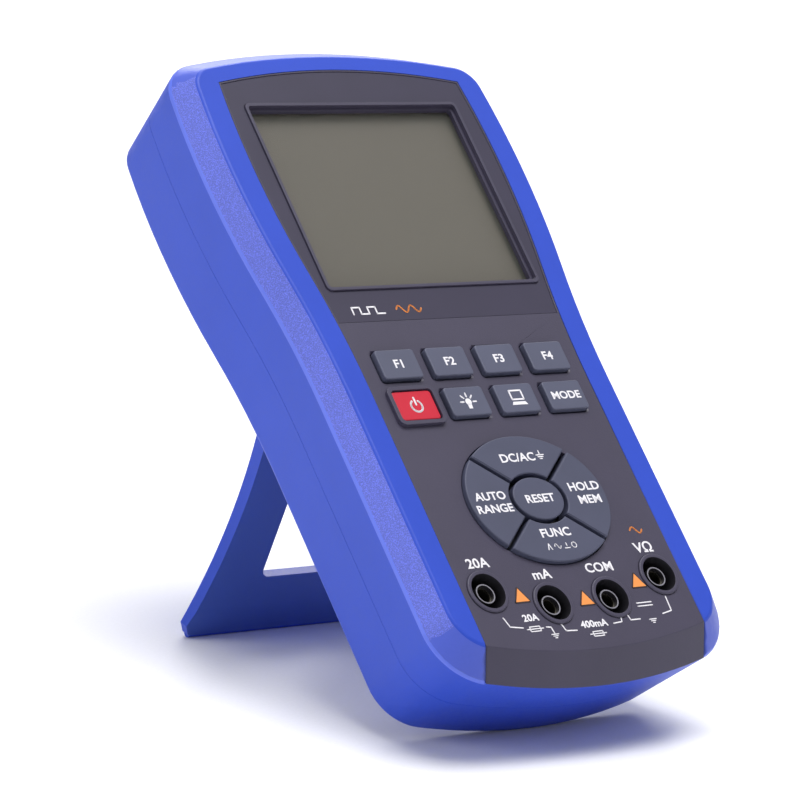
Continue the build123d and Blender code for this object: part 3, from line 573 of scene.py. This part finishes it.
@dataclass(frozen=True)
class Stand:
    """The kickstand and its pin."""

    edge_break: float = 0.5
    pin_break: float = 0.15

    def side(self, _: Vector, normal: Vector) -> int:
        """Tell the side that faces the casing (1), which is painted in shade, from the others (0), with the
        stand open.
        """
        return int(abs(normal.x) < 0.1 and normal.z > 0.4 and abs(normal.y) > 0.7)

    def build(self, dresser: Dresser) -> None:
        """Show the stand with its moulded edges and painted shade on the side that faces the casing."""
        blues = ("blue_casing", "stand_painted_shade")
        dresser.stand_in("kickstand", "stand_plate", self.edge_break, blues, self.side)
        dresser.stand_in("hinge_pin", "stand_pin", self.pin_break)


# ---- keys and legends ----------------------------------------------------------------------------------
class Pen:
    """Collects flat strokes, discs and outlines for a printed mark, in millimetres."""

    joint_sides = 10
    arc_steps = 18
    wave_steps = 20

    def __init__(self) -> None:
        """Start with nothing drawn."""
        self.outlines: list[list[Point2]] = []

    def stroke(self, points: Sequence[Point2], width: float, closed: bool = False) -> "Pen":
        """Add a line through points with round joints."""
        path = list(points) + ([points[0]] if closed else [])
        for a, b in zip(path, path[1:]):
            start, end = Vector(a), Vector(b)
            run = (end - start).normalized() * width / 2
            side = Vector((-run.y, run.x))
            corners = [start - side, end - side, end + side, start + side]
            self.outlines.append([(c.x, c.y) for c in corners])
        for x, y in path:
            self.disc(x, y, width / 2, self.joint_sides)
        return self

    def disc(self, x: float, y: float, radius: float, count: int = 24) -> "Pen":
        """Add a filled circle."""
        turns = [2 * math.pi * i / count for i in range(count)]
        self.outlines.append([(x + radius * math.cos(t), y + radius * math.sin(t)) for t in turns])
        return self

    def area(self, points: Sequence[Point2]) -> "Pen":
        """Add a filled convex outline, counter-clockwise."""
        self.outlines.append(list(points))
        return self

    def arc(self, x: float, y: float, radius: float, start: float, end: float, width: float) -> "Pen":
        """Add an arc between two angles in degrees."""
        sweep = (end - start) / self.arc_steps
        turns = [math.radians(start + sweep * i) for i in range(self.arc_steps + 1)]
        return self.stroke([(x + radius * math.cos(t), y + radius * math.sin(t)) for t in turns], width)

    def wave(self, x: float, y: float, width: float, height: float, line: float) -> "Pen":
        """Add one period of a sine wave centred on a point."""
        shares = [i / self.wave_steps for i in range(self.wave_steps + 1)]
        path = [(x + (s - 0.5) * width, y + math.sin(2 * math.pi * s) * height / 2) for s in shares]
        return self.stroke(path, line)


@dataclass(frozen=True)
class Legend:
    """A white printed word: what it says, where its middle is, its cap height and its node."""

    text: str
    x: float
    y: float
    cap: float
    node: str = "front_panel"


class Printer:
    """Prints legends and marks on the panel and the keys."""

    font_caps = 0.72
    stretch = 1.1
    bold = 0.07
    half_ink = 0.03
    curve_steps = 3
    name_shift = 40
    fine_line = 0.26
    bracket_line = 0.32
    film_line = 0.42
    triangle_side = 4.3
    triangle_edge = 0.7
    second_coat = 0.05
    panel_top = {"front_panel": 0.0, "display_surround": -0.15}

    legends = (
        Legend("20A", -27.2, 33.8, 2.7), Legend("mA", -9.1, 29.1, 2.7), Legend("COM", 10.0, 29.5, 2.6),
        Legend("V\u03a9", 27.2, 33.8, 2.9),
        Legend("F1", KEY_COLUMNS[0], UPPER_KEYS, 2.4, "key_f1"),
        Legend("F2", KEY_COLUMNS[1], UPPER_KEYS, 2.4, "key_f2"),
        Legend("F3", KEY_COLUMNS[2], UPPER_KEYS, 2.4, "key_f3"),
        Legend("F4", KEY_COLUMNS[3], UPPER_KEYS, 2.4, "key_f4"),
        Legend("MODE", KEY_COLUMNS[3], LOWER_KEYS, 2.2, "key_mode"),
        Legend("DC/AC", -0.9, 61.5, 2.4, "pad_key_dc_ac"), Legend("RESET", 0.3, 49.5, 2.3, "key_reset"),
        Legend("HOLD", 15.9, 51.9, 2.4, "pad_key_hold"), Legend("MEM", 16.1, 48.1, 2.4, "pad_key_hold"),
        Legend("AUTO", -15.0, 51.2, 2.3, "pad_key_auto_range"),
        Legend("RANGE", -15.2, 47.6, 2.3, "pad_key_auto_range"),
        Legend("FUNC", 0.1, 39.6, 2.4, "pad_key_functions"),
        Legend("20A", -18.6, 17.6, 1.9), Legend("400mA", 0.2, 14.2, 1.9),
    )

    def __init__(self, dresser: Dresser) -> None:
        """Keep the dresser, whose maker places the prints."""
        self.dresser = dresser
        self.maker = dresser.maker

    def surface(self, node: str) -> float:
        """Height of the surface that takes the ink."""
        return self.panel_top[node] if node in self.panel_top else self.dresser.top_of(node)

    def words(self) -> None:
        """Print every legend."""
        for legend in self.legends:
            curve = bpy.data.curves.new("word", "FONT")
            curve.body = legend.text
            curve.align_x = "CENTER"
            curve.size = legend.cap / self.font_caps
            curve.offset = self.bold
            curve.extrude = self.half_ink
            curve.resolution_u = self.curve_steps
            word = bpy.data.objects.new("word", curve)
            bpy.context.scene.collection.objects.link(word)
            bpy.context.view_layer.update()
            graph = bpy.context.evaluated_depsgraph_get()
            mesh = bpy.data.meshes.new_from_object(word.evaluated_get(graph))
            bpy.data.objects.remove(word)
            bpy.data.curves.remove(curve)
            rise = self.surface(legend.node) + self.half_ink
            mesh.transform(Matrix.Translation((legend.x, legend.y - legend.cap / 2, rise))
                           @ Matrix.Scale(self.stretch, 4, Vector((1, 0, 0))))
            label = legend.text.replace("/", "_").replace("\u03a9", "_ohm").lower()
            name = f"print_{label}_{round(legend.x + self.name_shift)}_{round(legend.y)}"
            self.ink(self.maker.link(name, mesh), legend.node, "ink_white")

    def ink(self, piece: bpy.types.Object, node: str, ink: str) -> None:
        """Place a print and dress it in its ink."""
        self.maker.place(piece)
        self.dresser.dress(piece, self.dresser.body_of[node], (ink,))

    def mark(self, name: str, pen: Pen, node: str, ink: str, lift: float = 0.0) -> None:
        """Print a drawn mark."""
        height = self.surface(node) + self.half_ink + lift
        self.ink(self.maker.solid_ribbon("print_" + name, pen.outlines, height), node, ink)

    def key_icons(self) -> None:
        """Print the power, lamp and computer marks on their keys."""
        x, y = KEY_COLUMNS[0], LOWER_KEYS
        power = Pen().arc(x, y - 0.2, 1.7, 125, 415, 0.55).stroke([(x, y + 0.2), (x, y + 2.2)], 0.55)
        self.mark("power", power, "key_power", "ink_white")
        x = KEY_COLUMNS[1]
        lamp = Pen().disc(x, y - 0.3, 0.95)
        lamp.area([(x - 0.55, y - 2.3), (x + 0.55, y - 2.3), (x + 0.65, y - 0.9), (x - 0.65, y - 0.9)])
        for turn in (0, 45, 90, 135, 180):
            c, s = math.cos(math.radians(turn)), math.sin(math.radians(turn))
            lamp.stroke([(x + 1.5 * c, y - 0.3 + 1.5 * s), (x + 2.5 * c, y - 0.3 + 2.5 * s)], 0.42)
        self.mark("lamp", lamp, "key_light", "ink_white")
        x = KEY_COLUMNS[2]
        screen = [(x - 1.9, y - 0.5), (x + 1.9, y - 0.5), (x + 1.9, y + 2.1), (x - 1.9, y + 2.1)]
        computer = Pen().stroke(screen, 0.45, True)
        computer.area([(x - 2.5, y - 2.1), (x + 2.5, y - 2.1), (x + 2.0, y - 1.2), (x - 2.0, y - 1.2)])
        self.mark("computer", computer, "key_computer", "ink_white")

    def ground_bars(self, pen: Pen, x: float, y: float, halves: Sequence[float], gap: float,
                    line: float) -> None:
        """Draw the shrinking bars of a ground sign, from the widest down."""
        for i, half in enumerate(halves):
            pen.stroke([(x - half, y - gap * i), (x + half, y - gap * i)], line)

    def pad_marks(self) -> None:
        """Print the ground sign and the row of measuring signs on the pad."""
        x, y = 6.6, 61.7
        ground = Pen().stroke([(x, y + 1.2), (x, y)], 0.3)
        self.ground_bars(ground, x, y, (1.2, 0.8, 0.35), 0.55, 0.3)
        self.mark("ground", ground, "pad_key_dc_ac", "ink_white")
        y, line = 35.6, self.fine_line
        signs = Pen().stroke([(-4.4, y - 0.8), (-3.8, y + 0.9), (-3.2, y - 0.8)], line)
        signs.wave(-1.1, y, 2.0, 1.4, line)
        signs.stroke([(1.0, y - 0.7), (2.6, y - 0.7)], line).stroke([(1.8, y + 0.7), (1.8, y - 0.1)], line)
        signs.arc(4.2, y, 0.75, 0, 360, line)
        self.mark("signs", signs, "pad_key_functions", "ink_white")

    def triangle(self, name: str, x: float, y: float) -> None:
        """Print a plain filled triangle."""
        side = self.triangle_side
        height = side * math.sqrt(3) / 2
        low, high = y - height / 3, y + height * 2 / 3
        corners = [(x - side / 2, low), (x + side / 2, low), (x, high)]
        edge = Pen().area(corners).stroke(corners, self.triangle_edge, True)
        self.mark(name + "_edge", edge, "front_panel", "ink_black")
        self.mark(name, Pen().area(corners), "front_panel", "ink_orange", self.second_coat)

    def fuse(self, name: str, x: float, y: float) -> None:
        """Print a plain fuse sign: a line through a box."""
        box = [(x - 1.6, y - 0.65), (x + 1.6, y - 0.65), (x + 1.6, y + 0.65), (x - 1.6, y + 0.65)]
        pen = Pen().stroke([(x - 2.6, y), (x + 2.6, y)], self.fine_line).stroke(box, self.fine_line, True)
        self.mark(name, pen, "front_panel", "ink_white")

    def socket_marks(self) -> None:
        """Print the triangles, fuse signs and brackets between the sockets."""
        for i, (x, y) in enumerate(((-18.6, 23.3), (1.1, 20.7), (20.0, 24.1)), start=1):
            self.triangle(f"triangle_{i}", x, y)
        self.fuse("fuse_left", -18.6, 14.4)
        self.fuse("fuse_middle", 0.2, 11.3)
        lines = Pen()
        brackets = (
            ((-26.9, 18.2), (-26.0, 15.6), (-22.2, 15.0)), ((-15.0, 14.6), (-13.6, 14.4), (-13.3, 12.6)),
            ((-10.0, 14.8), (-9.4, 13.0), (-6.0, 12.8)), ((6.4, 13.6), (9.2, 13.8), (9.6, 15.4)),
            ((11.9, 15.6), (12.3, 14.0), (15.4, 14.0)), ((23.4, 14.8), (26.6, 15.4), (26.8, 19.4)),
        )
        for bracket in brackets:
            lines.stroke(bracket, self.bracket_line)
        for x, y in ((-13.3, 12.4), (19.4, 13.6)):
            self.ground_bars(lines, x, y, (1.1, 0.7, 0.3), 0.5, self.fine_line)
        lines.stroke([(16.6, 18.4), (21.4, 18.4)], 0.3).stroke([(16.6, 17.5), (21.4, 17.5)], 0.3)
        self.mark("brackets", lines, "front_panel", "ink_white")
        self.mark("input_wave", Pen().wave(27.4, 38.8, 4.0, 1.8, 0.4), "front_panel", "ink_orange")

    def film_marks(self) -> None:
        """Print a square and a sine wave under the display."""
        x, y = -25.0, 107.4
        steps = ((-5, -1), (-5, 1), (-2.5, 1), (-2.5, -1), (0, -1), (0, 1), (2.5, 1), (2.5, -1), (5, -1))
        square = Pen().stroke([(x + a, y + b) for a, b in steps], self.film_line)
        self.mark("square_wave", square, "display_surround", "ink_white")
        wave = Pen().wave(-14.0, y, 4.0, 2.0, self.film_line).wave(-10.0, y, 4.0, 2.0, self.film_line)
        self.mark("sine_wave", wave, "display_surround", "ink_orange")

    def build(self) -> None:
        """Print everything."""
        self.words()
        self.key_icons()
        self.pad_marks()
        self.socket_marks()
        self.film_marks()


@dataclass(frozen=True)
class Keys:
    """The eight keys, the pad's four segments and its middle key."""

    edge: float = 0.18
    starts: tuple[str, ...] = ("key_f", "key_l", "key_c", "key_m", "key_p", "key_r", "pad_key")

    def build(self, dresser: Dresser) -> None:
        """Show every key with a soft edge."""
        for node in dresser.nodes:
            if node.startswith(self.starts):
                rubber = ("pad_rubber",) if node.startswith("pad_key") or node == "key_reset" else ()
                dresser.stand_in(node, node + "_cap", self.edge, rubber)


@dataclass(frozen=True)
class Inside:
    """Sockets, contacts, display and everything on the boards, without the screws."""

    screws: tuple[str, ...]
    socket_break: float = 0.1
    lip_depth: float = 0.25
    rim_depth: float = 1.3

    def socket_part(self, centre: Vector, normal: Vector) -> int:
        """Tell a socket's lip (1) and the rim of its tube (2), which gets a painted highlight, from the rest
        (0).
        """
        if centre.z > -self.lip_depth:
            return 1
        return 2 if centre.z > -self.rim_depth and normal.z > 0.5 else 0

    def build(self, dresser: Dresser) -> None:
        """Show each node that isn't shown yet in its own finish, the sockets with a small edge."""
        for node in dresser.nodes:
            if node in dresser.shown or node in self.screws:
                continue
            if node.startswith("socket"):
                colours = ("socket_plastic", "panel_plastic", "socket_rim_painted_highlight")
                dresser.stand_in(node, node + "_insert", self.socket_break, colours, self.socket_part)
            else:
                dresser.stand_in(node, node + "_piece")


# ---- screws --------------------------------------------------------------------------------------------
@dataclass(frozen=True)
class ScrewKind:
    """One kind of cross-recess screw, in millimetres."""

    node: str
    head_radius: float
    head_height: float
    shank_radius: float
    pitch: float

    head_sides: ClassVar[int] = 40
    shank_sides: ClassVar[int] = 24
    coil_steps: ClassVar[int] = 20
    ridge_sides: ClassVar[int] = 5
    cross_long: ClassVar[float] = 1.25
    cross_wide: ClassVar[float] = 0.24
    core_share: ClassVar[float] = 0.82
    thread_share: ClassVar[float] = 0.94
    ridge_share: ClassVar[float] = 0.17

    @staticmethod
    def raised(group: bpy.types.NodeTree, mesh: Any, rise: Any) -> Any:
        """Move a mesh up by a socket's value and return the socket with it."""
        way = add_node(group, "ShaderNodeCombineXYZ", None, {"Z": rise})
        moved = add_node(group, "GeometryNodeTransform", None,
                         {"Geometry": mesh, "Translation": way.outputs[0]})
        return moved.outputs[0]

    def tree(self, length: float) -> bpy.types.NodeTree:
        """Build the node group that makes one screw along -Z under its head.

        Args:
            length: Shank length under the head.

        Returns:
            The node group, with a point cloud mesh in and the screws out.
        """
        group = bpy.data.node_groups.new("cross_screw", "GeometryNodeTree")
        group.interface.new_socket("Places", in_out="INPUT", socket_type="NodeSocketGeometry")
        for label, value in (("Head radius", self.head_radius), ("Head height", self.head_height),
                             ("Shank radius", self.shank_radius), ("Length", length), ("Pitch", self.pitch)):
            socket = group.interface.new_socket(label, in_out="INPUT", socket_type="NodeSocketFloat")
            socket.default_value = value
        group.interface.new_socket("Screws", in_out="OUTPUT", socket_type="NodeSocketGeometry")
        given = add_node(group, "NodeGroupInput").outputs
        height, long = given["Head height"], given["Length"]
        head = add_node(group, "GeometryNodeMeshCylinder", {"Vertices": self.head_sides},
                        {"Radius": given["Head radius"], "Depth": height})
        slotted = self.raised(group, head.outputs["Mesh"], times(group, height, 0.5))
        reach = times(group, given["Head radius"], self.cross_long)
        width = times(group, given["Head radius"], self.cross_wide)
        for across, along in ((reach, width), (width, reach)):
            size = add_node(group, "ShaderNodeCombineXYZ", None, {"X": across, "Y": along, "Z": height})
            cube = add_node(group, "GeometryNodeMeshCube", None, {"Size": size.outputs[0]})
            cut = self.raised(group, cube.outputs["Mesh"], height)
            carve = add_node(group, "GeometryNodeMeshBoolean", None, {0: slotted, 1: cut},
                             operation="DIFFERENCE")
            slotted = carve.outputs["Mesh"]
        core = times(group, given["Shank radius"], self.core_share)
        rod = add_node(group, "GeometryNodeMeshCylinder", {"Vertices": self.shank_sides},
                       {"Radius": core, "Depth": long})
        shank = self.raised(group, rod.outputs["Mesh"], times(group, long, -0.5))
        turns = add_node(group, "ShaderNodeMath", None, {0: long, 1: given["Pitch"]}, operation="DIVIDE")
        coil = add_node(group, "GeometryNodeCurveSpiral", {"Resolution": self.coil_steps},
                        {"Rotations": turns.outputs[0], "Start Radius": core, "End Radius": core,
                         "Height": times(group, long, -self.thread_share)})
        ridge = add_node(group, "GeometryNodeCurvePrimitiveCircle", {"Resolution": self.ridge_sides},
                         {"Radius": times(group, given["Shank radius"], self.ridge_share)})
        thread = add_node(group, "GeometryNodeCurveToMesh", {"Fill Caps": True},
                          {"Curve": coil.outputs[0], "Profile Curve": ridge.outputs[0]})
        whole = add_node(group, "GeometryNodeJoinGeometry")
        for part in (slotted, shank, thread.outputs[0]):
            group.links.new(part, whole.inputs[0])
        placed = add_node(group, "GeometryNodeInstanceOnPoints", None,
                          {"Points": given["Places"], "Instance": whole.outputs[0]})
        real = add_node(group, "GeometryNodeRealizeInstances", None, {0: placed.outputs[0]})
        finish = add_node(group, "GeometryNodeSetMaterial", {"Material": Finishes.get("steel")},
                          {0: real.outputs[0]})
        add_node(group, "NodeGroupOutput", None, {0: finish.outputs[0]})
        return group

    def build(self, dresser: Dresser) -> None:
        """Show the screws of one kind where the node's own shafts stand."""
        maker = dresser.maker
        copy = maker.local_copy(dresser.nodes[self.node], "places")
        islands = self.islands(copy)
        bpy.data.objects.remove(copy)
        depth = max(high - low for _, _, low, high, _ in islands)
        down = islands[0][4]
        mesh = bpy.data.meshes.new(self.node)
        seats = [(x, y * (1 if down else -1), (high if down else -low) - self.head_height)
                 for x, y, low, high, _ in islands]
        mesh.from_pydata(seats, [], [])
        piece = maker.link(self.node + "_threaded", mesh)
        made = piece.modifiers.new("screws", "NODES")
        made.node_group = self.tree(depth - self.head_height)
        maker.bake(piece)
        if not down:
            piece.data.transform(Matrix.Rotation(math.pi, 4, "X"))
        maker.soften(piece, 0.0)
        maker.place(piece)
        slot = dresser.slot_of[self.node]
        dresser.dress(piece, dresser.body_of[self.node], (slot,), slot, [self.node])

    def islands(self, copy: bpy.types.Object) -> list[tuple[float, float, float, float, bool]]:
        """Find each screw in a mesh: its middle, its lowest and highest Z and whether its head is on top."""
        net = bmesh.new()
        net.from_mesh(copy.data)
        left = set(net.verts)
        found = []
        while left:
            island, edge = [], [left.pop()]
            while edge:
                vertex = edge.pop()
                island.append(vertex)
                for link in vertex.link_edges:
                    other = link.other_vert(vertex)
                    if other in left:
                        left.remove(other)
                        edge.append(other)
            xs, ys, zs = zip(*(v.co for v in island))
            x, y = (min(xs) + max(xs)) / 2, (min(ys) + max(ys)) / 2
            widest = max(island, key=lambda v: (v.co.x - x) ** 2 + (v.co.y - y) ** 2).co.z
            found.append((x, y, min(zs), max(zs), widest > (min(zs) + max(zs)) / 2))
        net.free()
        return found


# ---- studio --------------------------------------------------------------------------------------------
@dataclass(frozen=True)
class Studio:
    """Pale floor, soft lights and the camera."""

    aim: tuple[float, float, float] = (-3.9, 96.0, -25.1)
    distance: float = 1091.0
    azimuth: float = 40.39
    elevation: float = 11.66
    roll: float = 6.13
    lens: float = 193.35
    floor_radius: float = 6.0
    sky_light: float = 0.38
    # name, place, point it faces, size in metres and power in watts
    lamps: tuple[tuple[str, tuple[float, ...], tuple[float, ...], float, float], ...] = (
        ("overhead_softbox", (0.1, -0.1, 2.3), (0, 0, 0.08), 1.5, 53.0),
        ("left_softbox", (-2.0, 0.5, 0.9), (0, 0, 0.08), 1.2, 10.5),
        ("background_softbox", (2.4, 3.0, 2.2), (2.0, 2.6, 0.0), 2.0, 110.0),
    )

    def build(self, axes: Axes) -> None:
        """Set up the floor, the lights, the sky and the camera."""
        scene = bpy.context.scene
        scene.view_settings.view_transform = "Standard"
        self.floor()
        self.sky(scene)
        for lamp in self.lamps:
            self.lamp(*lamp)
        self.camera(scene, axes)

    def floor(self) -> None:
        """Lay a wide pale floor."""
        bpy.ops.mesh.primitive_circle_add(vertices=96, radius=self.floor_radius, fill_type="NGON")
        floor = bpy.context.object
        floor.name = "studio_floor"
        paper = Finish("paper_white_matte", "f2f2f3", 0.9, Grain.PRINTED, 1.0, 0.02, drift=0.0)
        floor.data.materials.append(paper.build())

    def sky(self, scene: bpy.types.Scene) -> None:
        """Light the scene softly from all round, against white."""
        world = bpy.data.worlds.new("studio")
        scene.world = world
        world.use_nodes = True
        tree = world.node_tree
        tree.nodes.clear()
        path = add_node(tree, "ShaderNodeLightPath")
        strength = remap(tree, path.outputs["Is Camera Ray"], (0.0, 1.0), (self.sky_light, 1.0))
        sky = add_node(tree, "ShaderNodeBackground", {"Color": (1.0, 1.0, 1.0, 1.0)}, {"Strength": strength})
        add_node(tree, "ShaderNodeOutputWorld", None, {"Surface": sky.outputs[0]})

    def lamp(self, name: str, place: Sequence[float], aim: Sequence[float], size: float,
             power: float) -> None:
        """Add one square softbox that faces a point."""
        light = bpy.data.lights.new(name, "AREA")
        light.size = size
        light.energy = power
        lamp = bpy.data.objects.new(name, light)
        lamp.location = place
        lamp.rotation_euler = (Vector(aim) - Vector(place)).to_track_quat("-Z", "Y").to_euler()
        bpy.context.scene.collection.objects.link(lamp)

    def camera(self, scene: bpy.types.Scene, axes: Axes) -> None:
        """Place the camera in front, low and to the left, a little tilted."""
        turn, tilt = math.radians(self.azimuth), math.radians(self.elevation)
        look = Vector((math.sin(turn) * math.cos(tilt), math.cos(turn) * math.cos(tilt), -math.sin(tilt)))
        data = bpy.data.cameras.new("camera")
        data.lens = self.lens
        camera = bpy.data.objects.new("camera", data)
        camera.location = axes.matrix @ Vector(self.aim) - look * self.distance * MM
        lean = Matrix.Rotation(math.radians(self.roll), 4, "Z").to_quaternion()
        camera.rotation_euler = (look.to_track_quat("-Z", "Y") @ lean).to_euler()
        scene.collection.objects.link(camera)
        scene.camera = camera


def main() -> None:
    """Build the instrument and its studio."""
    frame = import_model()
    axes = Axes.from_record(frame["record"])
    dresser = Dresser(frame, Maker(axes))
    Housing().build(dresser)
    Stand().build(dresser)
    Keys().build(dresser)
    screws = (ScrewKind("case_screws", 2.75, 2.0, 1.4, 0.9), ScrewKind("board_screws", 2.1, 1.3, 1.1, 0.8),
              ScrewKind("battery_door_screws", 2.3, 1.2, 1.2, 0.8))
    Inside(tuple(kind.node for kind in screws)).build(dresser)
    for kind in screws:
        kind.build(dresser)
    Printer(dresser).build()
    Studio().build(axes)


if __name__ == "__main__":
    logging.basicConfig(level=logging.INFO, format="%(name)s %(message)s")
    main()
